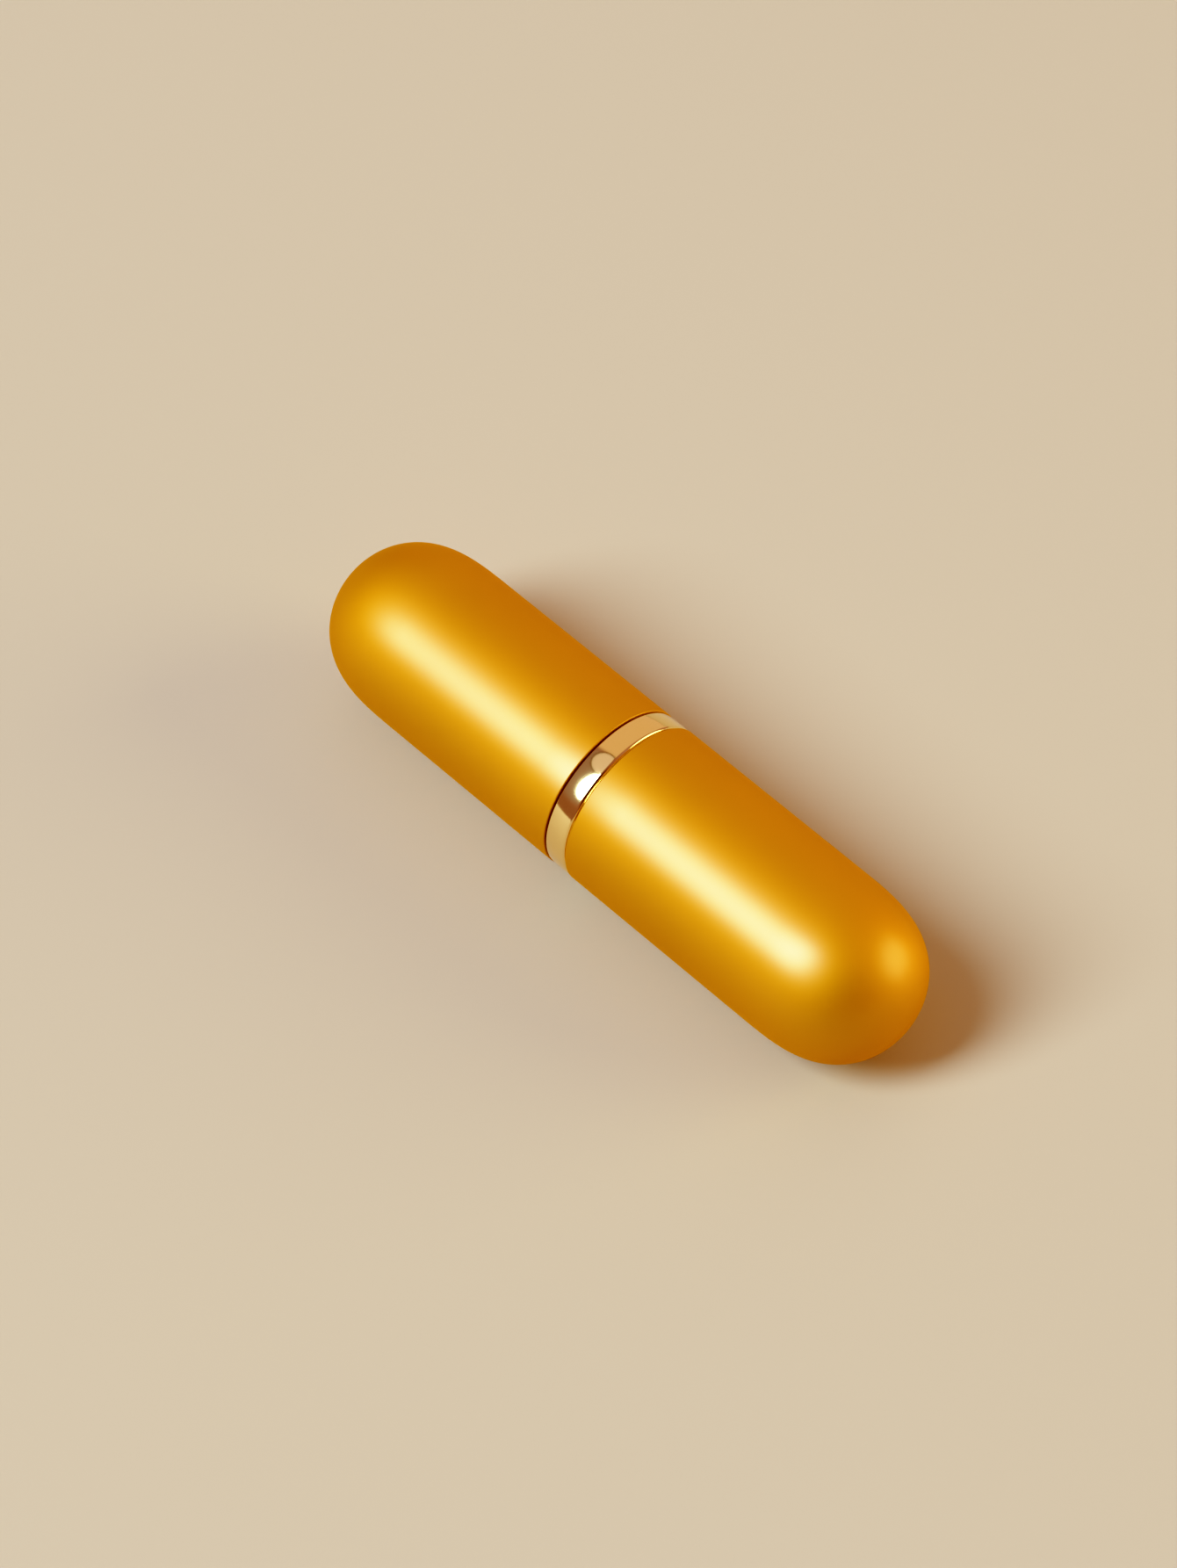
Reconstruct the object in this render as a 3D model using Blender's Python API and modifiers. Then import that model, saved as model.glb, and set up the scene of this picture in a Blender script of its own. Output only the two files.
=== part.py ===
"""Mascara tube: two domed metal shells that meet at a polished collar ring.

The cap carries the threaded inner cap, the gasket, the wand stem and the twisted
wire brush; the base carries the vial, its neck thread, the wiper and the paste.
The tube lies on its side: its axis runs along +X, from the base tip to the cap tip,
and the lowest line of the shells touches z = 0. Metres, +Z up.

Every turned piece is drawn as a profile of (radius, height) in millimetres about
its own Z axis, with height 0 in the middle of the seam, and is then laid along +X.
"""
import math

import bmesh
import bpy
from mathutils import Matrix

MM = 0.001

# ---------------------------------------------------------------- driving sizes
R_SHELL = 11.0            # outside radius of both shells
CAP_LEN = 43.44           # middle of the seam to the cap's tip
BASE_LEN = 47.31          # middle of the seam to the base's tip
NOSE_LEN = 1.416 * R_SHELL  # length of each domed end
WALL = 0.7                # shell wall
SEAM = 0.33               # open line between cap and collar ring
RING_LOW = -3.25          # lower edge of the visible ring
BASE_MOUTH = -3.40        # mouth of the base shell
CROWN = 0.09              # how far the ring bulges between its edges

LEAD = 3.0                # rise of the cap per turn
NECK_TURNS = 1.3          # length of the neck thread
CAP_TURNS = 1.2           # length of the inner cap's thread
NECK_R = 5.8              # neck, without its thread
NECK_CREST = 6.55         # outside of the neck thread
CAP_CREST = 6.70          # inside of the inner cap's thread
CAP_BORE = 7.5            # threaded bore of the inner cap
RIM_Z = 10.4              # top of the neck
STEM_R = 2.7
ORIFICE_R = 3.0           # wiper's lip
BRUSH_R = 3.7
BRUSH_LEN = 26.0
BRUSH_TIP = -41.5

SIDES = 36                # facets of the shells, one of them flat on the floor
FINE = 28                 # facets of the small inner pieces

SEAM_X = (BASE_LEN - CAP_LEN) / 2   # puts the middle of the length at x = 0


# ---------------------------------------------------------------- clean scene
for old in list(bpy.data.objects):
    bpy.data.objects.remove(old, do_unlink=True)
for block in (bpy.data.meshes, bpy.data.materials, bpy.data.curves):
    for old in list(block):
        block.remove(old)

parts = bpy.data.collections.new("mascara_tube")
cutters = bpy.data.collections.new("cutters")
bpy.context.scene.collection.children.link(parts)
bpy.context.scene.collection.children.link(cutters)


def empty(name, parent=None):
    """A frame on the tube's axis, with its Z along the tube."""
    e = bpy.data.objects.new(name, None)
    e.empty_display_size = 0.01
    parts.objects.link(e)
    e.location = (SEAM_X * MM, 0, R_SHELL * MM)
    e.rotation_euler = (0, math.pi / 2, 0)
    if parent:
        bpy.context.view_layer.update()
        e.parent = parent
        e.matrix_parent_inverse = parent.matrix_world.inverted()
    return e


base_frame = empty("base_frame")
pull_frame = empty("pull_frame", base_frame)
rise_frame = empty("rise_frame", pull_frame)
turn_frame = empty("turn_frame", rise_frame)


def finish(name, colour, roughness, metallic):
    m = bpy.data.materials.new(name)
    m.use_nodes = True
    b = m.node_tree.nodes["Principled BSDF"]
    b.inputs["Base Color"].default_value = (*colour, 1)
    b.inputs["Roughness"].default_value = roughness
    b.inputs["Metallic"].default_value = metallic
    m.diffuse_color = (*colour, 1)
    return m


def place(obj, frame, sides=0):
    """Lays a piece on the tube's axis. Half a facet of turn puts a flat facet on the floor."""
    parts.objects.link(obj)
    obj.parent = frame
    if sides:
        obj.rotation_euler = (0, 0, math.pi / sides)
    return obj


def shade(obj, angle=35):
    obj.data.shade_smooth()
    obj.data.set_sharp_from_angle(angle=math.radians(angle))


def turned(name, profile, material, frame, sides=SIDES, ring=False, bore=False):
    """A lathe piece from a profile of (radius, height) that runs down its outer side.

    A plain piece is drawn with its facets' middles on the true radius, so its flat
    facets lie on the real circle. ring closes the profile on itself.
    """
    grow = 1 / math.cos(math.pi / sides)
    mesh = bpy.data.meshes.new(name)
    bm = bmesh.new()
    vs = [bm.verts.new((r * grow * MM, 0, z * MM)) for r, z in profile]
    for a, b in zip(vs, vs[1:]):
        bm.edges.new((a, b))
    if ring:
        bm.edges.new((vs[-1], vs[0]))
    bm.to_mesh(mesh)
    bm.free()
    obj = bpy.data.objects.new(name, mesh)
    mesh.materials.append(material)
    s = obj.modifiers.new("turn", "SCREW")
    s.axis = "Z"
    s.angle = 2 * math.pi
    s.steps = s.render_steps = sides
    s.use_merge_vertices = True
    s.merge_threshold = 0.00001
    s.use_normal_calculate = False
    place(obj, frame, sides)
    return obj


def nose_radius(d, radius, length):
    """Radius of a domed end, d from its tip: a soft shoulder that runs into the cylinder."""
    u = min(max(d / length, 0), 1)
    return radius * math.sqrt(1 - (1 - u) ** 3)


def nose(tip, way, inset=0.0, radius=R_SHELL, steps=(0, 9, 20, 32, 44, 55, 66, 76, 85, 90)):
    """Points of a domed end from its tip outwards, moved inwards by inset along the normal."""
    out = []
    for deg in steps:
        u = 1 - math.cos(math.radians(deg)) ** (2 / 3)
        d, r = u * NOSE_LEN, radius * math.sin(math.radians(deg))
        e = 1e-4
        if deg == 0:
            nx, nz = 0.0, 1.0
        else:
            r1 = nose_radius(d + e, radius, NOSE_LEN)
            r0 = nose_radius(d - e, radius, NOSE_LEN)
            slope = (r1 - r0) / (2 * e)
            nx, nz = 1 / math.hypot(1, slope), slope / math.hypot(1, slope)
        rr, dd = r - inset * nx, d + inset * nz
        out.append((max(rr, 0.0) if deg else 0.0, tip - way * dd))
    return out


def helix(name, r_root, r_crest, z0, turns, root_w, crest_w, per_turn=20, start=0.0):
    """A thread ridge: a tapered loft along a right-hand helix, sunk into the wall at its root."""
    bm = bmesh.new()
    n = int(round(per_turn * turns))
    rings = []
    for i in range(n + 1):
        t = i / n * turns
        a = start + 2 * math.pi * t
        z = z0 + LEAD * t
        fade = min(1, t / 0.12, (turns - t) / 0.12)
        fade = max(fade, 0.05)
        rc = r_root + (r_crest - r_root) * fade
        rw, cw = root_w * (0.5 + 0.5 * fade), crest_w * (0.5 + 0.5 * fade)
        pts = [(r_root, -rw / 2), (rc, -cw / 2), (rc, cw / 2), (r_root, rw / 2)]
        rings.append([
            bm.verts.new((r * math.cos(a) * MM, r * math.sin(a) * MM, (z + dz) * MM))
            for r, dz in pts])
    for a, b in zip(rings, rings[1:]):
        for k in range(4):
            bm.faces.new((a[k], a[(k + 1) % 4], b[(k + 1) % 4], b[k]))
    bm.faces.new(rings[0])
    bm.faces.new(rings[-1][::-1])
    bmesh.ops.recalc_face_normals(bm, faces=bm.faces)
    mesh = bpy.data.meshes.new(name)
    bm.to_mesh(mesh)
    bm.free()
    obj = bpy.data.objects.new(name, mesh)
    cutters.objects.link(obj)
    obj.hide_render = True
    obj.display_type = "WIRE"
    return obj


def join(obj, tool, frame):
    tool.parent = frame
    b = obj.modifiers.new("thread", "BOOLEAN")
    b.operation = "UNION"
    b.solver = "EXACT"
    b.object = tool


# ---------------------------------------------------------------- finishes
gold = finish("satin_gold", (0.86, 0.47, 0.05), 0.33, 1.0)
gold_base = finish("satin_gold_base", (0.86, 0.47, 0.05), 0.33, 1.0)
bright = finish("polished_gold", (0.93, 0.68, 0.33), 0.08, 1.0)
cap_plastic = finish("inner_cap_plastic", (0.02, 0.02, 0.022), 0.35, 0.0)
washer = finish("gasket_foam", (0.75, 0.74, 0.70), 0.7, 0.0)
rod = finish("stem_plastic", (0.015, 0.015, 0.017), 0.25, 0.0)
steel = finish("brush_wire", (0.55, 0.55, 0.56), 0.3, 1.0)
fibre = finish("brush_fibre", (0.015, 0.014, 0.014), 0.55, 0.0)
clear = finish("vial_plastic", (0.80, 0.80, 0.78), 0.2, 0.0)
soft = finish("wiper_rubber", (0.70, 0.69, 0.66), 0.5, 0.0)
paste = finish("formula_paste", (0.008, 0.007, 0.007), 0.4, 0.0)

# ---------------------------------------------------------------- cap
cap_outer = nose(CAP_LEN, 1)
cap_inner = nose(CAP_LEN, 1, inset=WALL)
mouth = SEAM / 2
turned(
    "cap_shell",
    cap_outer
    + [(R_SHELL, mouth + 0.30), (R_SHELL - 0.08, mouth + 0.09), (R_SHELL - 0.25, mouth)]
    + [(R_SHELL - WALL + 0.08, mouth), (R_SHELL - WALL, mouth + 0.08)]
    + cap_inner[::-1],
    gold, turn_frame)

# inner cap: outer skirt, web, threaded sleeve and stem socket in one moulding
GAP = 0.3
skirt_r = R_SHELL - WALL - GAP
inner_cap = turned(
    "inner_cap",
    [(skirt_r - 0.2, 27.0), (skirt_r, 26.8), (skirt_r, 1.0), (skirt_r - 0.3, 0.7),
     (9.25, 0.7), (9.25, 12.3), (8.4, 12.3), (8.4, 2.4), (8.2, 2.2),
     (CAP_BORE, 2.2), (CAP_BORE, 13.1), (3.0, 13.1), (3.0, 24.0),
     (4.3, 24.0), (4.5, 23.8), (4.5, 14.6), (9.2, 14.6), (9.2, 27.0)],
    cap_plastic, turn_frame, ring=True)
cap_thread = helix("cap_thread", CAP_BORE + 0.35, CAP_CREST, 4.5 + LEAD / 2, CAP_TURNS, 1.5, 0.8)
join(inner_cap, cap_thread, turn_frame)

# gasket: covers the neck's rim and passes inside the inner cap's thread
turned("cap_gasket", [(6.15, 12.8), (6.3, 12.65), (6.3, 11.95), (6.15, 11.8), (3.1, 11.8), (3.1, 12.8)],
       washer, pull_frame, FINE, ring=True)

# ---------------------------------------------------------------- wand
stem_end = BRUSH_TIP + BRUSH_LEN + 1.0
turned(
    "wand_stem",
    [(0, 23.6), (2.3, 23.6), (STEM_R, 23.2), (STEM_R, 20.6), (2.35, 20.2), (2.35, 19.6),
     (STEM_R, 19.2), (STEM_R, -9.5), (2.2, -11.5), (2.0, stem_end + 0.5), (1.5, stem_end),
     (0.95, stem_end), (0.95, stem_end + 6.5), (0, stem_end + 6.5)],
    rod, rise_frame, FINE)


def twisted_core(name, material, frame):
    """Two wires wound on each other: a two-lobed section turned as it is carried along."""
    lobe, off, pitch = 0.33, 0.27, 3.0
    top, low = stem_end + 6.0, BRUSH_TIP
    section = []
    for k in range(4):
        a = math.radians(-67.5 + 45 * k)
        section.append((off + lobe * math.cos(a), lobe * math.sin(a)))
    section += [(-x, -y) for x, y in section]
    bm = bmesh.new()
    vs = [bm.verts.new((x * MM, y * MM, low * MM)) for x, y in section]
    face = bm.faces.new(vs)
    steps = int((top - low) / pitch * 6)
    bmesh.ops.spin(
        bm, geom=[face], cent=(0, 0, 0), axis=(0, 0, 1),
        dvec=(0, 0, (top - low) * MM / steps), angle=2 * math.pi * (top - low) / pitch,
        steps=steps, use_merge=False, use_normal_flip=False, use_duplicate=False)
    bmesh.ops.remove_doubles(bm, verts=bm.verts, dist=1e-7)
    bmesh.ops.recalc_face_normals(bm, faces=bm.faces)
    mesh = bpy.data.meshes.new(name)
    bm.to_mesh(mesh)
    bm.free()
    mesh.materials.append(material)
    obj = bpy.data.objects.new(name, mesh)
    return place(obj, frame)


twisted_core("brush_core", steel, turn_frame)


def bristle_body(name, material, frame):
    """The brush: fibres stand in a spiral round the wire, longest in the middle and short at the tip."""
    low, high = BRUSH_TIP + 0.8, BRUSH_TIP + BRUSH_LEN - 0.6
    profile = [(0.9, high)]
    rows = 15
    step = (high - low) / rows
    for k in range(rows):
        z = high - step * (k + 0.5)
        t = (high - z) / (high - low)
        r = BRUSH_R * (0.62 + 0.38 * math.sin(math.pi * min(t * 1.25 + 0.12, 1.0) ** 0.9))
        r *= 1 - 0.45 * max(0, (t - 0.8) / 0.2) ** 2
        profile += [(1.3, z + 0.42 * step), (r, z + 0.14 * step), (r, z - 0.14 * step), (1.3, z - 0.42 * step)]
    profile += [(0.9, low)]
    return turned(name, profile, material, frame, 16, ring=True)


bristle_body("brush_bristles", fibre, turn_frame)

# ---------------------------------------------------------------- collar and base shell
ring_out = []
for k in range(7):
    t = -1 + k / 3
    z = (-mouth + RING_LOW) / 2 - t * (-mouth - RING_LOW) / 2
    edge = 0.16 * max(0, abs(t) - 0.66) / 0.34
    ring_out.append((R_SHELL - 0.02 - CROWN * t * t - edge, z))
turned(
    "collar_ring",
    [(8.2, 1.6), (8.7, 1.6), (8.9, 1.4), (8.9, -0.3), (10.55, -0.3)]
    + ring_out
    + [(10.55, RING_LOW), (10.0, RING_LOW), (10.0, -9.0), (9.4, -9.0), (9.4, -1.2), (6.2, -1.2), (6.2, -0.3),
       (8.2, -0.3)],
    bright, base_frame, ring=True)

base_outer = nose(-BASE_LEN, -1)
base_inner = nose(-BASE_LEN, -1, inset=WALL)
turned(
    "base_shell",
    base_inner
    + [(R_SHELL - WALL, BASE_MOUTH - 0.08), (R_SHELL - WALL + 0.08, BASE_MOUTH),
       (R_SHELL - 0.12, BASE_MOUTH), (R_SHELL, BASE_MOUTH - 0.14)]
    + base_outer[::-1],
    gold_base, base_frame)

# ---------------------------------------------------------------- vial, wiper, paste
VIAL_WALL = 1.2
few = (0, 12, 27, 42, 56, 68, 78, 86)
vial_out = nose(-BASE_LEN, -1, inset=WALL + GAP, steps=few)
vial_in = nose(-BASE_LEN, -1, inset=WALL + GAP + VIAL_WALL, steps=few)
vr = R_SHELL - WALL - GAP
vial = turned(
    "vial",
    vial_in
    + [(vr - VIAL_WALL, -11.6), (8.0, -10.4), (8.0, -4.6), (4.4, -2.9), (4.4, RIM_Z - 0.2), (4.6, RIM_Z),
       (NECK_R - 0.2, RIM_Z), (NECK_R, RIM_Z - 0.2), (NECK_R, -1.5), (8.8, -1.5), (9.1, -1.8), (9.1, -9.3),
       (vr, -9.3)]
    + vial_out[::-1],
    clear, base_frame)
neck_thread = helix("neck_thread", NECK_R - 0.35, NECK_CREST, 4.5, NECK_TURNS, 1.5, 0.8)
join(vial, neck_thread, base_frame)

turned(
    "wiper",
    [(5.4, 11.5), (5.6, 11.3), (5.6, 10.7), (4.1, 10.7), (4.1, 1.2), (3.6, -2.0), (ORIFICE_R, -2.0),
     (ORIFICE_R, -1.3), (3.45, 0.4), (3.45, 10.6), (3.9, 11.5)],
    soft, base_frame, FINE, ring=True)

pr = vr - VIAL_WALL - GAP
paste_low = nose(-BASE_LEN, -1, inset=WALL + 2 * GAP + VIAL_WALL, steps=(0, 16, 34, 52, 68, 80))
turned(
    "formula",
    [(0, BRUSH_TIP - 0.9), (3.2, BRUSH_TIP - 0.9), (4.05, BRUSH_TIP + 1.0), (4.05, -13.0), (4.9, -12.4),
     (7.9, -12.4), (pr, -13.2)]
    + paste_low[::-1],
    paste, base_frame, FINE)

for obj in parts.objects:
    if obj.type == "MESH":
        shade(obj)
bpy.context.view_layer.update()
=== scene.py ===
import math
import random

import bmesh
import bpy
from mathutils import Matrix, Vector


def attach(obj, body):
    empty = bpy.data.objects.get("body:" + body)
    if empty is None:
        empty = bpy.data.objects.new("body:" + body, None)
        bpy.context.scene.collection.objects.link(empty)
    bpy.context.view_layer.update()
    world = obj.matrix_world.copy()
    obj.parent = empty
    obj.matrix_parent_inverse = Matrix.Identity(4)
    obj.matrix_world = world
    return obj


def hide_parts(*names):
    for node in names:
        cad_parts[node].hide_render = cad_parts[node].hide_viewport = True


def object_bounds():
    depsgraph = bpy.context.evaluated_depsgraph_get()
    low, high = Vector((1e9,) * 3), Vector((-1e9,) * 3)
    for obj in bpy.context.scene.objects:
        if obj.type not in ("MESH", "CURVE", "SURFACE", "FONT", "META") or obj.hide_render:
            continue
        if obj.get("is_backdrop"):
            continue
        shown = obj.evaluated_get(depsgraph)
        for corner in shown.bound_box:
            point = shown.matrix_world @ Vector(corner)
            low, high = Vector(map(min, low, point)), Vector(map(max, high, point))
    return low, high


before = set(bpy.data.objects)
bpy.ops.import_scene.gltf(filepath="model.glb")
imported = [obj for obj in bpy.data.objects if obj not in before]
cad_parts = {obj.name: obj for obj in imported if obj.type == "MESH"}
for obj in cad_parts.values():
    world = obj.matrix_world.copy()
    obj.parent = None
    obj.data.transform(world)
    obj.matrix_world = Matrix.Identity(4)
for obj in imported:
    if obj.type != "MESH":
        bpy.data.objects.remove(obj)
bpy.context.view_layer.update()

MM = 0.001
TAU = 2 * math.pi
rnd = random.Random(7)

# ------------------------------------------------------------------ sizes, mm
R = 11.0                   # radius of both shells
CAP_LEN = 43.44            # seam to the cap's tip
BASE_LEN = 47.31           # seam to the base's tip
NOSE = 1.416 * R           # length of the domed ends
WALL = 0.7
SEAM = 0.33
RING_LOW = -3.25
BASE_MOUTH = -3.40
SEAM_X = (BASE_LEN - CAP_LEN) / 2
LEAD = 3.0
BRUSH_TIP, BRUSH_LEN = -41.5, 26.0


# ------------------------------------------------------------------ mesh tools
def at(r, a, z):
    """A point at radius r, angle a and height z about the tube's axis, in metres in the row frame."""
    return (
        (SEAM_X + z) * MM,
        r * math.sin(a) * MM,
        (R - r * math.cos(a)) * MM,
    )


def piece(name, bm, body, nodes, material, smooth=35):
    mesh = bpy.data.meshes.new(name)
    bm.normal_update()
    bm.to_mesh(mesh)
    bm.free()
    mesh.materials.append(material)
    obj = bpy.data.objects.new(name, mesh)
    bpy.context.scene.collection.objects.link(obj)
    mesh.shade_smooth()
    if smooth:
        mesh.set_sharp_from_angle(angle=math.radians(smooth))
    if body:
        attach(obj, body)
    if nodes:
        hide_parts(*nodes)
    return obj


def lathe(profile, sides=160, ring=False, bm=None):
    """A closed turned solid from a profile of (radius, height) that runs down its outer side."""
    bm = bm or bmesh.new()
    rows = []
    for r, z in profile:
        if r < 1e-6:
            rows.append([bm.verts.new(at(0, 0, z))])
        else:
            rows.append([bm.verts.new(at(r, TAU * k / sides, z)) for k in range(sides)])
    pairs = list(zip(rows, rows[1:]))
    if ring:
        pairs.append((rows[-1], rows[0]))
    made = []
    for a, b in pairs:
        for k in range(sides):
            n = (k + 1) % sides
            if len(a) == 1 and len(b) == 1:
                continue
            if len(a) == 1:
                made.append(bm.faces.new((a[0], b[k], b[n])))
            elif len(b) == 1:
                made.append(bm.faces.new((a[k], b[0], a[n])))
            else:
                made.append(bm.faces.new((a[k], b[k], b[n], a[n])))
    bmesh.ops.recalc_face_normals(bm, faces=made)
    return bm


def arc(cx, cz, r, a0, a1, n=6):
    """Points of a rounded edge in a profile."""
    return [
        (cx + r * math.cos(math.radians(a0 + (a1 - a0) * k / n)),
         cz + r * math.sin(math.radians(a0 + (a1 - a0) * k / n)))
        for k in range(n + 1)
    ]


def nose_pts(tip, way, inset=0.0, n=44):
    """A domed end from its tip outwards: soft shoulder that runs into the cylinder, moved inwards by inset."""
    out = []
    for k in range(n + 1):
        t = 90.0 * k / n
        phi = math.radians(t if t < 80 else t)
        u = 1 - max(math.cos(phi), 0.0) ** (2 / 3)
        r, d = R * math.sin(phi), u * NOSE
        if k == 0:
            nx, nz = 0.0, 1.0
        elif k == n:
            nx, nz = 1.0, 0.0
        else:
            # r^2 = R^2 (1 - (1 - u)^3)
            slope = 3 * R * R * (1 - u) ** 2 / (2 * r * NOSE)
            nx, nz = 1 / math.hypot(1, slope), slope / math.hypot(1, slope)
        rr, dd = r - inset * nx, d + inset * nz
        out.append((max(rr, 0.0) if k else 0.0, tip - way * dd))
    # the last stretch before the cylinder is long, so it is filled in
    a, b = out[-2], out[-1]
    mid = []
    for f in (0.25, 0.5, 0.75):
        phi = math.radians(90.0 * (n - 1) / n)
        u0 = 1 - math.cos(phi) ** (2 / 3)
        u = u0 + (1 - u0) * f
        r = R * math.sqrt(max(0.0, 1 - (1 - u) ** 3))
        mid.append((r - inset, tip - way * u * NOSE))
    return out[:-1] + mid + [b]


def helix_ridge(r_root, r_crest, z0, turns, root_w, crest_w, per_turn=72, start=0.0):
    """A thread ridge with faded ends, as a mesh of its own."""
    bm = bmesh.new()
    n = int(round(per_turn * turns))
    rings = []
    for i in range(n + 1):
        t = i / n * turns
        a, z = start + TAU * t, z0 + LEAD * t
        fade = max(0.04, min(1, t / 0.12, (turns - t) / 0.12))
        fade = fade * fade * (3 - 2 * fade)
        rc = r_root + (r_crest - r_root) * fade
        rw, cw = root_w * (0.5 + 0.5 * fade), crest_w * (0.5 + 0.5 * fade)
        inward = (r_crest - r_root) * 0.12 * fade
        pts = [(r_root, -rw / 2), (rc - inward, -cw / 2 - 0.05), (rc, -cw / 2 + 0.05),
               (rc, cw / 2 - 0.05), (rc - inward, cw / 2 + 0.05), (r_root, rw / 2)]
        rings.append([bm.verts.new(at(r, a, z + dz)) for r, dz in pts])
    k = len(rings[0])
    for a, b in zip(rings, rings[1:]):
        for j in range(k):
            bm.faces.new((a[j], a[(j + 1) % k], b[(j + 1) % k], b[j]))
    bm.faces.new(rings[0])
    bm.faces.new(rings[-1][::-1])
    bmesh.ops.recalc_face_normals(bm, faces=bm.faces)
    return bm


def united(obj, bm):
    """Joins a mesh to a piece with an applied Boolean, so the piece stays one clean solid."""
    mesh = bpy.data.meshes.new("tool")
    bm.to_mesh(mesh)
    bm.free()
    tool = bpy.data.objects.new("tool", mesh)
    bpy.context.scene.collection.objects.link(tool)
    mod = obj.modifiers.new("join", "BOOLEAN")
    mod.operation, mod.solver, mod.object = "UNION", "EXACT", tool
    bpy.context.view_layer.update()
    done = bpy.data.meshes.new_from_object(obj.evaluated_get(bpy.context.evaluated_depsgraph_get()))
    obj.modifiers.remove(mod)
    material = obj.data.materials[0]
    old, obj.data = obj.data, done
    done.materials.clear()
    done.materials.append(material)
    bpy.data.objects.remove(tool)
    done.name = old.name
    done.shade_smooth()
    done.set_sharp_from_angle(angle=math.radians(35))


# ------------------------------------------------------------------ materials
class Nodes:
    """A Principled material with its texture nodes on object coordinates."""

    def __init__(self, name, **values):
        self.mat = bpy.data.materials.new(name)
        self.mat.use_nodes = True
        self.tree = self.mat.node_tree
        self.bsdf = self.tree.nodes["Principled BSDF"]
        self.coord = self.add("ShaderNodeTexCoord")
        for key, value in values.items():
            socket = self.bsdf.inputs[key.replace("_", " ")]
            socket.default_value = (*value, 1) if isinstance(value, tuple) else value

    def add(self, kind, **props):
        n = self.tree.nodes.new(kind)
        for k, v in props.items():
            setattr(n, k, v)
        return n

    def link(self, a, b):
        self.tree.links.new(a, b)

    def mapping(self, scale=(1, 1, 1), rotation=(0, 0, 0), location=(0, 0, 0)):
        m = self.add("ShaderNodeMapping")
        m.inputs["Scale"].default_value = scale
        m.inputs["Rotation"].default_value = rotation
        m.inputs["Location"].default_value = location
        self.link(self.coord.outputs["Object"], m.inputs["Vector"])
        return m.outputs["Vector"]

    def noise(self, scale, detail=4.0, rough=0.5, vector=None, distortion=0.0):
        n = self.add("ShaderNodeTexNoise")
        n.inputs["Scale"].default_value = scale
        n.inputs["Detail"].default_value = detail
        n.inputs["Roughness"].default_value = rough
        n.inputs["Distortion"].default_value = distortion
        self.link(vector or self.coord.outputs["Object"], n.inputs["Vector"])
        return n.outputs["Fac"]

    def ramp(self, fac, stops):
        """stops are (position, value or colour)"""
        n = self.add("ShaderNodeValToRGB")
        cr = n.color_ramp
        while len(cr.elements) < len(stops):
            cr.elements.new(0.5)
        for e, (p, c) in zip(cr.elements, stops):
            e.position = p
            e.color = (*c, 1) if isinstance(c, tuple) else (c, c, c, 1)
        self.link(fac, n.inputs["Fac"])
        return n.outputs["Color"]

    def range(self, fac, low, high):
        n = self.add("ShaderNodeMapRange")
        n.inputs["To Min"].default_value = low
        n.inputs["To Max"].default_value = high
        self.link(fac, n.inputs["Value"])
        return n.outputs["Result"]

    def math(self, op, a, b=None):
        n = self.add("ShaderNodeMath", operation=op)
        for i, v in enumerate((a, b)):
            if v is None:
                continue
            if isinstance(v, (int, float)):
                n.inputs[i].default_value = v
            else:
                self.link(v, n.inputs[i])
        return n.outputs["Value"]

    def mix(self, fac, a, b):
        n = self.add("ShaderNodeMix", data_type="RGBA")
        for i, v in ((0, fac), (6, a), (7, b)):
            if isinstance(v, (int, float)):
                n.inputs[i].default_value = v
            elif isinstance(v, tuple):
                n.inputs[i].default_value = (*v, 1)
            else:
                self.link(v, n.inputs[i])
        return n.outputs[2]

    def bump(self, height, strength, distance, normal=None):
        n = self.add("ShaderNodeBump")
        n.inputs["Strength"].default_value = strength
        n.inputs["Distance"].default_value = distance
        self.link(height, n.inputs["Height"])
        if normal:
            self.link(normal, n.inputs["Normal"])
        return n.outputs["Normal"]

    def out(self, key, value):
        self.link(value, self.bsdf.inputs[key])


def satin_gold():
    """Bead-blasted aluminium under a dyed anodic layer: fine even grain, faint tone drift."""
    m = Nodes("satin_gold", Metallic=1.0, Coat_Weight=0.225, Coat_Roughness=0.38, Coat_IOR=3.5,
              Specular_Tint=(0.95, 0.45, 0.05))
    drift = m.noise(55, 3)
    m.out("Base Color", m.ramp(drift, [(0.3, (0.705, 0.356, 0.002)), (0.7, (0.735, 0.374, 0.004))]))
    grain = m.noise(9000, 2, 0.6)
    cloud = m.noise(220, 4)
    m.out("Roughness", m.range(m.math("ADD", m.math("MULTIPLY", grain, 0.4), m.math("MULTIPLY", cloud, 0.6)), 0.68, 0.74))
    m.out("Normal", m.bump(grain, 0.12, 0.00002))
    return m.mat


def polished_gold():
    """Polished plating with faint hairlines round it."""
    m = Nodes("polished_gold", Metallic=1.0, Coat_Weight=0.15, Coat_Roughness=0.03)
    drift = m.noise(140, 3)
    m.out("Base Color", m.ramp(drift, [(0.3, (0.92, 0.69, 0.35)), (0.7, (0.94, 0.71, 0.37))]))
    lines = m.noise(1.0, 2, 0.5, m.mapping((26000, 500, 500)))
    m.out("Roughness", m.range(lines, 0.085, 0.105))
    m.out("Normal", m.bump(lines, 0.015, 0.000005))
    return m.mat


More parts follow.
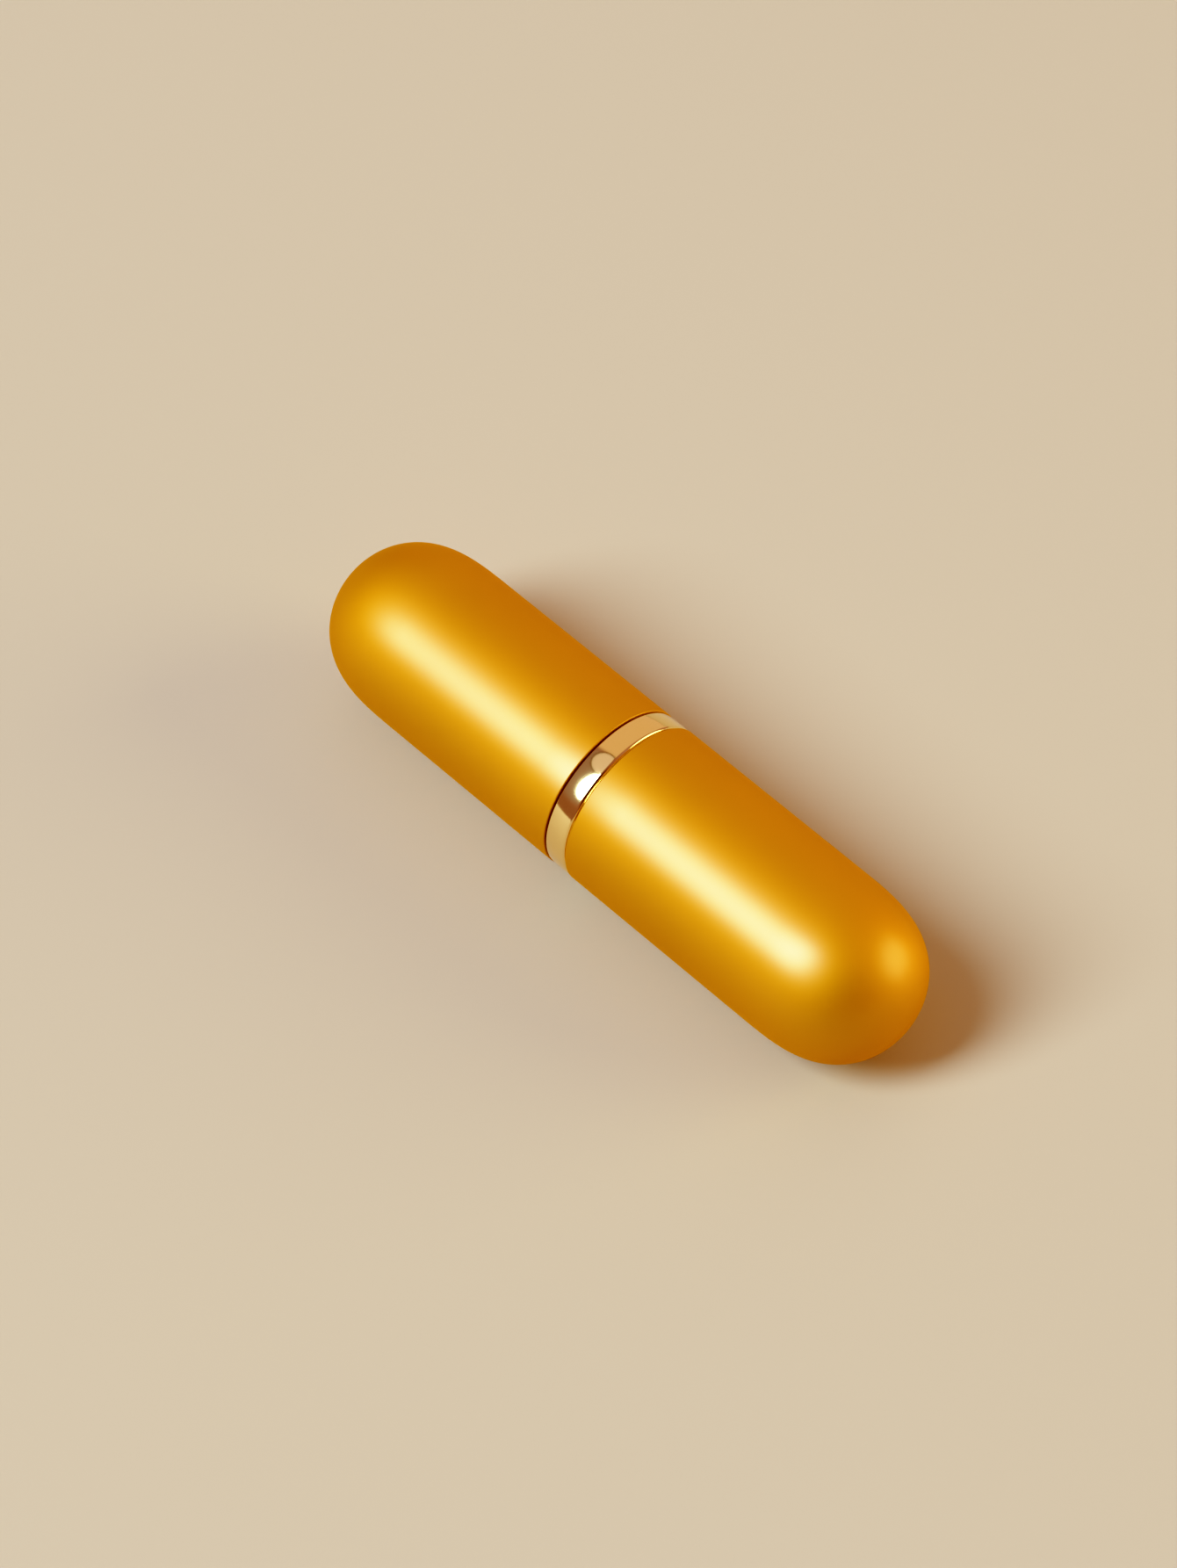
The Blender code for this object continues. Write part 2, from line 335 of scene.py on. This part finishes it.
def plastic(name, low, high, rough, grain_scale=2600, grain=0.08, **values):
    """Moulded plastic: slight mottling and a fine spark-eroded texture."""
    m = Nodes(name, **values)
    m.out("Base Color", m.ramp(m.noise(160, 4), [(0.3, low), (0.7, high)]))
    g = m.noise(grain_scale, 3)
    m.out("Roughness", m.range(m.noise(700, 3), rough - 0.05, rough + 0.06))
    m.out("Normal", m.bump(g, grain, 0.00003))
    return m.mat


def wire_steel():
    m = Nodes("brush_wire_steel", Metallic=1.0)
    m.out("Base Color", m.ramp(m.noise(900, 3), [(0.3, (0.42, 0.42, 0.43)), (0.7, (0.60, 0.60, 0.61))]))
    draw = m.noise(1.0, 3, 0.6, m.mapping((700, 9000, 9000)))
    m.out("Roughness", m.range(draw, 0.22, 0.38))
    m.out("Normal", m.bump(draw, 0.1, 0.00001))
    return m.mat


def fibre_black():
    m = Nodes("brush_fibre_black", Specular_IOR_Level=0.6)
    m.out("Base Color", m.ramp(m.noise(1800, 3), [(0.3, (0.006, 0.006, 0.007)), (0.7, (0.022, 0.020, 0.020))]))
    m.out("Roughness", m.range(m.noise(2500, 2), 0.28, 0.5))
    return m.mat


def paste_black():
    m = Nodes("formula_black", Coat_Weight=0.6, Coat_Roughness=0.12)
    m.out("Base Color", m.ramp(m.noise(300, 4), [(0.3, (0.004, 0.004, 0.004)), (0.7, (0.012, 0.011, 0.011))]))
    swirl = m.noise(420, 4, 0.55, None, 0.6)
    m.out("Roughness", m.range(swirl, 0.25, 0.5))
    m.out("Normal", m.bump(swirl, 0.35, 0.0003))
    return m.mat


GOLD = satin_gold()
RING = polished_gold()
CAP_PLASTIC = plastic("inner_cap_black", (0.012, 0.012, 0.013), (0.02, 0.02, 0.021), 0.36)
STEM_PLASTIC = plastic("stem_black", (0.008, 0.008, 0.009), (0.014, 0.014, 0.015), 0.18, grain=0.03)
VIAL_PLASTIC = plastic("vial_natural", (0.76, 0.75, 0.71), (0.82, 0.81, 0.77), 0.24, grain=0.04,
                       Subsurface_Weight=0.25, Subsurface_Scale=0.002)
WIPER_SOFT = plastic("wiper_soft", (0.70, 0.68, 0.63), (0.77, 0.75, 0.70), 0.42, grain=0.06,
                     Subsurface_Weight=0.3, Subsurface_Scale=0.0015)
FOAM = plastic("gasket_foam", (0.70, 0.69, 0.65), (0.82, 0.81, 0.77), 0.75, grain_scale=5200, grain=0.5)
STEEL = wire_steel()
FIBRE = fibre_black()
PASTE = paste_black()

# ------------------------------------------------------------------ the two shells
mouth = SEAM / 2
lip = 0.115                # the shell's rolled edge
outer, inner = nose_pts(CAP_LEN, 1), nose_pts(CAP_LEN, 1, WALL)
cap_profile = (
    outer + [(R, 20), (R, 12), (R, 4)]
    + arc(R - 0.14, lip + 0.14, 0.14, 0, -90, 7)
    + arc(R - WALL + 0.08, lip + 0.08, 0.08, -90, -180, 4)
    + [(R - WALL, 8), (R - WALL, 18)] + inner[::-1]
)
piece("cap_shell_satin", lathe(cap_profile, 192), "cap", ["cap_shell"], GOLD)

outer, inner = nose_pts(-BASE_LEN, -1), nose_pts(-BASE_LEN, -1, WALL)
base_profile = (
    inner + [(R - WALL, -22), (R - WALL, -12)]
    + arc(R - WALL + 0.08, BASE_MOUTH - 0.08, 0.08, 180, 90, 4)
    + arc(R - 0.12, BASE_MOUTH - 0.12, 0.12, 90, 0, 6)
    + [(R, -8), (R, -16), (R, -24)] + outer[::-1]
)
piece("base_shell_satin", lathe(base_profile, 192), "base", ["base_shell"], GOLD)

# ------------------------------------------------------------------ collar ring
top, low, soft = -0.11, RING_LOW, 0.48
crown = []
N = 18
for k in range(N + 1):
    z = (top - 0.14) + ((low + soft) - (top - 0.14)) * k / N
    t = (z - (top + low) / 2) / ((top - low) / 2)
    crown.append((R - 0.02 - 0.09 * t * t, z))
r0, z0 = crown[0]
r1, z1 = crown[-1]
ring_profile = (
    [(8.25, 1.6)] + arc(8.68, 1.38, 0.22, 90, 0, 5) + [(8.9, -0.15)] + [(9.05, -0.3), (10.42, -0.3)]
    + [(10.5, -0.22), (10.56, top - 0.03), (10.6, top)] + arc(r0 - 0.14, z0, 0.14, 88, 12, 8) + crown
    + arc(r1 - soft * 0.985, z1, soft, -14, -66, 9) + [(r1 - 0.215, low), (r1 - 0.26, low - 0.02)]
    + [(10.1, low - 0.02), (10.0, low - 0.1), (10.0, -8.8), (9.8, -9.0), (9.5, -9.0), (9.4, -8.9), (9.4, -1.2),
       (6.3, -1.2), (6.2, -1.1), (6.2, -0.4), (6.3, -0.3), (8.0, -0.3), (8.05, -0.2), (8.05, 1.45)]
)
piece("collar_ring_polished", lathe(ring_profile, 192, ring=True), "base", ["collar_ring"], RING)

# ------------------------------------------------------------------ inner cap, gasket, stem
GAP = 0.3
sr = R - WALL - GAP
inner_cap = piece(
    "inner_cap_moulding",
    lathe([(9.35, 27.0)] + [(sr - 0.2, 27.0), (sr, 26.8), (sr, 1.0), (sr - 0.3, 0.7), (9.4, 0.7),
           (9.25, 0.85), (9.25, 12.1), (9.05, 12.3), (8.6, 12.3), (8.4, 12.1), (8.4, 2.5), (8.1, 2.2), (7.8, 2.2),
           (7.5, 2.5), (7.5, 12.95), (7.35, 13.1), (3.1, 13.1), (3.0, 13.2), (3.0, 23.9), (3.1, 24.0),
           (4.3, 24.0), (4.5, 23.8), (4.5, 15.0), (4.9, 14.6), (8.8, 14.6), (9.2, 15.0), (9.2, 26.9)],
          96, ring=True),
    "cap", ["inner_cap"], CAP_PLASTIC)
united(inner_cap, helix_ridge(7.85, 6.70, 4.5 + LEAD / 2, 1.2, 1.5, 0.8))

piece("cap_gasket_washer",
      lathe(arc(6.15, 12.65, 0.15, 90, 0, 4) + arc(6.15, 11.95, 0.15, 0, -90, 4)
            + arc(3.2, 11.9, 0.1, -90, -180, 3) + arc(3.2, 12.7, 0.1, 180, 90, 3), 96, ring=True),
      "gasket", ["cap_gasket"], FOAM)

SR = 2.7
stem_end = BRUSH_TIP + BRUSH_LEN + 1.0
piece("wand_stem_rod",
      lathe([(0, 23.6), (2.2, 23.6)] + arc(SR - 0.35, 23.25, 0.35, 80, 0, 5)
            + [(SR, 20.7), (2.4, 20.2), (2.4, 19.7), (SR, 19.2), (SR, -9.3), (SR - 0.02, -9.6), (2.6, -10.1),
               (2.3, -11.2), (2.2, -11.8), (2.05, stem_end + 0.7)]
            + arc(1.55, stem_end + 0.5, 0.5, 0, -90, 6) + [(0.95, stem_end), (0.9, stem_end + 0.1),
               (0.9, stem_end + 6.4), (0, stem_end + 6.5)], 64),
      "stem", ["wand_stem"], STEM_PLASTIC)

# ------------------------------------------------------------------ brush
PITCH = 1.7


def twisted_wires():
    """Two round wires laid round each other."""
    bm = bmesh.new()
    top, wire, off, sides = stem_end + 6.0, 0.267, 0.272, 8
    steps = int((top - BRUSH_TIP) / PITCH * 14)
    for lay in (0, math.pi):
        rows = []
        for i in range(steps + 1):
            z = BRUSH_TIP + (top - BRUSH_TIP) * i / steps
            a = lay + TAU * z / PITCH
            end = min(1.0, (i + 1) / 6, (steps - i + 1) / 6)
            lean = math.atan2(TAU * off, PITCH)
            c = Vector((off * math.cos(a), off * math.sin(a), z))
            radial = Vector((math.cos(a), math.sin(a), 0))
            along = Vector((-math.sin(a) * math.sin(lean), math.cos(a) * math.sin(lean), math.cos(lean)))
            side = along.cross(radial)
            row = []
            for k in range(sides):
                b = TAU * k / sides
                p = c + (radial * math.cos(b) + side * math.sin(b)) * wire * math.sqrt(end)
                rr, aa = math.hypot(p.x, p.y), math.atan2(p.y, p.x)
                row.append(bm.verts.new(at(rr, aa, p.z)))
            rows.append(row)
        for p, q in zip(rows, rows[1:]):
            for k in range(sides):
                n = (k + 1) % sides
                bm.faces.new((p[k], p[n], q[n], q[k]))
        bm.faces.new(rows[0])
        bm.faces.new(rows[-1][::-1])
    bmesh.ops.recalc_face_normals(bm, faces=bm.faces)
    return bm


piece("brush_core_wires", twisted_wires(), "cap", ["brush_core"], STEEL, smooth=60)


def brush_radius(t):
    """Outer radius of the brush; t is 0 at the rod and 1 at the tip."""
    r = 3.7 * (0.62 + 0.38 * math.sin(math.pi * min(t * 1.25 + 0.12, 1.0) ** 0.9))
    return r * (1 - 0.45 * max(0.0, (t - 0.8) / 0.2) ** 2)


def fibres():
    """Nylon fibres held between the wires, each with its own length, lean and a slight bend."""
    bm = bmesh.new()
    low, high = BRUSH_TIP + 0.8, BRUSH_TIP + BRUSH_LEN - 0.6
    count = 2300
    for i in range(count):
        t = (i + rnd.random()) / count
        z = high - (high - low) * t
        a = TAU * z / PITCH + (math.pi if i % 2 else 0) + math.pi / 2 + rnd.gauss(0, 0.34)
        length = brush_radius(t) * (0.93 + 0.07 * rnd.random()) - 0.05
        lean = rnd.gauss(0, 0.05) * length
        bend = rnd.gauss(0, 0.05)
        rows = []
        for j, f in enumerate((0.0, 0.5, 1.0)):
            r = 0.12 + (length - 0.12) * f
            w = 0.055 * (1 - 0.45 * f)
            aa = a + bend * f * f
            zz = z + lean * f * f
            rows.append([
                bm.verts.new(at(r, aa + math.cos(b) * w / max(r, 0.3), zz + math.sin(b) * w))
                for b in (0.5, 0.5 + TAU / 3, 0.5 + 2 * TAU / 3)
            ])
        for p, q in zip(rows, rows[1:]):
            for k in range(3):
                n = (k + 1) % 3
                bm.faces.new((p[k], p[n], q[n], q[k]))
        bm.faces.new(rows[0][::-1])
        bm.faces.new(rows[-1])
    bmesh.ops.recalc_face_normals(bm, faces=bm.faces)
    return bm


piece("brush_fibres", fibres(), "cap", ["brush_bristles"], FIBRE, smooth=0)

# ------------------------------------------------------------------ vial, wiper, paste
vr, wall = R - WALL - GAP, 1.2
vo, vi = nose_pts(-BASE_LEN, -1, WALL + GAP, 30), nose_pts(-BASE_LEN, -1, WALL + GAP + wall, 30)
vial = piece(
    "vial_moulding",
    lathe(vi + [(vr - wall, -20), (vr - wall, -11.6), (8.0, -10.4), (8.0, -4.7), (7.9, -4.5), (4.5, -3.0),
                (4.4, -2.8), (4.4, 10.1)]
          + arc(4.6, 10.2, 0.2, 180, 90, 4) + arc(5.6, 10.2, 0.2, 90, 0, 4)
          + [(5.8, -1.3), (6.0, -1.5), (8.8, -1.5), (9.1, -1.8), (9.1, -9.2), (9.2, -9.3), (vr - 0.1, -9.3),
             (vr, -9.4), (vr, -20)] + vo[::-1], 96),
    "base", ["vial"], VIAL_PLASTIC)
united(vial, helix_ridge(5.45, 6.55, 4.5, 1.3, 1.5, 0.8))

piece("wiper_sleeve",
      lathe(arc(5.45, 11.35, 0.15, 90, 0, 4) + arc(5.5, 10.8, 0.1, 0, -90, 3)
            + [(4.2, 10.7), (4.1, 10.6), (4.1, 1.2), (3.6, -1.8)] + arc(3.4, -1.85, 0.15, 0, -90, 3)
            + arc(3.15, -1.85, 0.15, -90, -180, 3) + [(3.02, -1.3), (3.45, 0.4), (3.45, 10.5), (3.55, 10.8),
               (3.85, 11.4), (4.0, 11.5)], 96, ring=True),
      "base", ["wiper"], WIPER_SOFT)

pr = vr - wall - GAP
pn = nose_pts(-BASE_LEN, -1, WALL + 2 * GAP + wall, 24)
piece("formula_paste_body",
      lathe([(0, BRUSH_TIP - 0.9), (3.1, BRUSH_TIP - 0.9), (3.9, BRUSH_TIP + 0.2), (4.05, BRUSH_TIP + 1.2),
             (4.05, -13.2), (4.3, -12.8), (4.9, -12.4), (6.4, -12.2), (7.9, -12.4), (8.3, -12.8), (pr, -13.6),
             (pr, -20)] + [p for p in pn[::-1] if p[1] < -31.8], 96),
      "base", ["formula"], PASTE)

# ------------------------------------------------------------------ floor
fm = Nodes("pale_floor", Roughness=0.62)
fm.bsdf.inputs["Specular IOR Level"].default_value = 0.25
fm.out("Base Color", fm.ramp(fm.noise(3.0, 2), [(0.35, (0.585, 0.482, 0.400)), (0.65, (0.595, 0.492, 0.410))]))
fm.out("Normal", fm.bump(fm.noise(900, 3), 0.05, 0.00005))
bm = bmesh.new()
bmesh.ops.create_grid(bm, x_segments=1, y_segments=1, size=1.6)
mesh = bpy.data.meshes.new("floor")
bm.to_mesh(mesh)
bm.free()
mesh.materials.append(fm.mat)
floor = bpy.data.objects.new("floor", mesh)
bpy.context.scene.collection.objects.link(floor)
floor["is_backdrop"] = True

# ------------------------------------------------------------------ light
CENTRE = Vector((0, 0, R * MM))


def softbox(name, direction, distance, width, height, power, colour=(1, 1, 1), round_=False):
    light = bpy.data.lights.new(name, "AREA")
    light.shape = "ELLIPSE" if round_ else "RECTANGLE"
    light.size, light.size_y = width, height
    light.energy = power
    light.color = colour
    obj = bpy.data.objects.new(name, light)
    d = Vector(direction).normalized()
    obj.location = CENTRE + d * distance
    obj.rotation_mode = "QUATERNION"
    obj.rotation_quaternion = d.to_track_quat("Z", "Y")
    bpy.context.scene.collection.objects.link(obj)
    return obj


KEY_WAY = (0.264, 0.643, 0.719)
softbox("key", KEY_WAY, 2.6, 0.90, 1.84, 88.0, (0.71, 0.95, 0.97), True)
softbox("fill", (-0.64, -0.70, 0.30), 1.8, 1.35, 1.35, 19.0, (0.92, 0.98, 0.46), True)

world = bpy.data.worlds.new("studio")
bpy.context.scene.world = world
world.use_nodes = True
wt = world.node_tree
bg = wt.nodes["Background"]
tc = wt.nodes.new("ShaderNodeTexCoord")


def fade(value, low, high):
    n = wt.nodes.new("ShaderNodeMapRange")
    n.interpolation_type = "SMOOTHSTEP"
    n.inputs["From Min"].default_value = low
    n.inputs["From Max"].default_value = high
    wt.links.new(value, n.inputs["Value"])
    return n.outputs["Result"]


def blend(name, mask, a, b):
    n = wt.nodes.new("ShaderNodeMix")
    n.name, n.data_type = name, "RGBA"
    wt.links.new(mask, n.inputs[0])
    if isinstance(a, tuple):
        n.inputs[6].default_value = (*a, 1)
    else:
        wt.links.new(a, n.inputs[6])
    n.inputs[7].default_value = (*b, 1)
    return n.outputs[2]


def disc(way, outer, inner):
    """Mask of the part of the room that lies within an angle of a direction."""
    n = wt.nodes.new("ShaderNodeVectorMath")
    n.operation = "DOT_PRODUCT"
    n.inputs[1].default_value = Vector(way).normalized()
    wt.links.new(tc.outputs["Generated"], n.inputs[0])
    return fade(n.outputs["Value"], math.cos(math.radians(outer)), math.cos(math.radians(inner)))


# a dim warm room: lower walls, a lighter wall opposite the key, the ceiling round the key,
# a dark corner past the base's end, a pale panel, and a small pale card above with a dark rim
sep = wt.nodes.new("ShaderNodeSeparateXYZ")
wt.links.new(tc.outputs["Generated"], sep.inputs["Vector"])
flip = wt.nodes.new("ShaderNodeMath")
flip.operation = "MULTIPLY"
flip.inputs[1].default_value = -1.0
wt.links.new(sep.outputs["Y"], flip.inputs[0])
room = blend("rim", fade(sep.outputs["Z"], 0.38, 0.18), (0.40, 0.225, 0.22), (0.34, 0.21, 0.20))
room = blend("side", fade(flip.outputs["Value"], -0.05, 0.3), room, (0.50, 0.31, 0.30))
room = blend("patch", disc((0.42, 0.52, 0.743), 37, 28), room, (0.37, 0.29, 0.33))
room = blend("corner", disc((-0.66, 0.52, 0.55), 31, 14), room, (0.02, 0.01, 0.006))
off = wt.nodes.new("ShaderNodeMath")
off.operation = "SUBTRACT"
off.inputs[1].default_value = 0.41
wt.links.new(sep.outputs["X"], off.inputs[0])
gap = wt.nodes.new("ShaderNodeMath")
gap.operation = "ABSOLUTE"
wt.links.new(off.outputs["Value"], gap.inputs[0])
both = wt.nodes.new("ShaderNodeMath")
both.operation = "MULTIPLY"
wt.links.new(fade(gap.outputs["Value"], 0.27, 0.20), both.inputs[0])
wt.links.new(fade(flip.outputs["Value"], 0.02, 0.10), both.inputs[1])
room = blend("panel", both.outputs["Value"], room, (0.80, 0.62, 0.50))
room = blend("card_rim", disc((0.34, 0.17, 0.92), 14.6, 13.8), room, (0.12, 0.07, 0.045))
room = blend("card", disc((0.34, 0.17, 0.92), 13.2, 12.4), room, (0.80, 0.72, 0.74))
wt.links.new(room, bg.inputs["Color"])
bg.inputs["Strength"].default_value = 1.0

scene = bpy.context.scene
scene.view_settings.view_transform = "Standard"
scene.view_settings.look = "None"
scene.view_settings.exposure = 0.0
scene.view_settings.gamma = 1.0

# the photograph's tone curve: a soft toe and a soft shoulder
WHITE = 1.8


def tone(x):
    x -= 0.05 * (1 - math.exp(-x / 0.05))
    return x if x < 0.6 else 0.6 + 0.4 * math.tanh((x - 0.6) / 0.4)


scene.view_settings.use_curve_mapping = True
curves = scene.view_settings.curve_mapping
curves.white_level = (WHITE, WHITE, WHITE)
line = curves.curves[3]
for x in (0.02, 0.045, 0.08, 0.14, 0.25, 0.45, 0.62, 0.72, 0.82, 0.92, 1.04, 1.2, 1.4):
    line.points.new(x / WHITE, tone(x))
line.points[-1].location = (1.0, tone(WHITE))
for channel, toe in ((1, 0.022), (2, 0.032)):
    for x in (0.01, 0.025, 0.05, 0.09, 0.16, 0.3):
        curves.curves[channel].points.new(x, (x - toe * (1 - math.exp(-x / toe))) / (1 - toe))
curves.update()

# ------------------------------------------------------------------ camera
cam = bpy.data.cameras.new("camera")
cam.sensor_width = 36.0
cam.lens = 135.9
cam.clip_start, cam.clip_end = 0.01, 20
camera = bpy.data.objects.new("camera", cam)
right = Vector((-0.70125, -0.71292, 0.0))
up = Vector((0.57262, -0.56325, 0.59570))
back = right.cross(up).normalized()
up = back.cross(right).normalized()
m = Matrix((right, up, back)).transposed().to_4x4()
m.translation = Vector(((-26.661 * R + SEAM_X) * MM, 26.568 * R * MM, (50.827 * R + R) * MM))
camera.matrix_world = m
scene.collection.objects.link(camera)
scene.camera = camera

bpy.context.view_layer.update()
low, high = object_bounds()
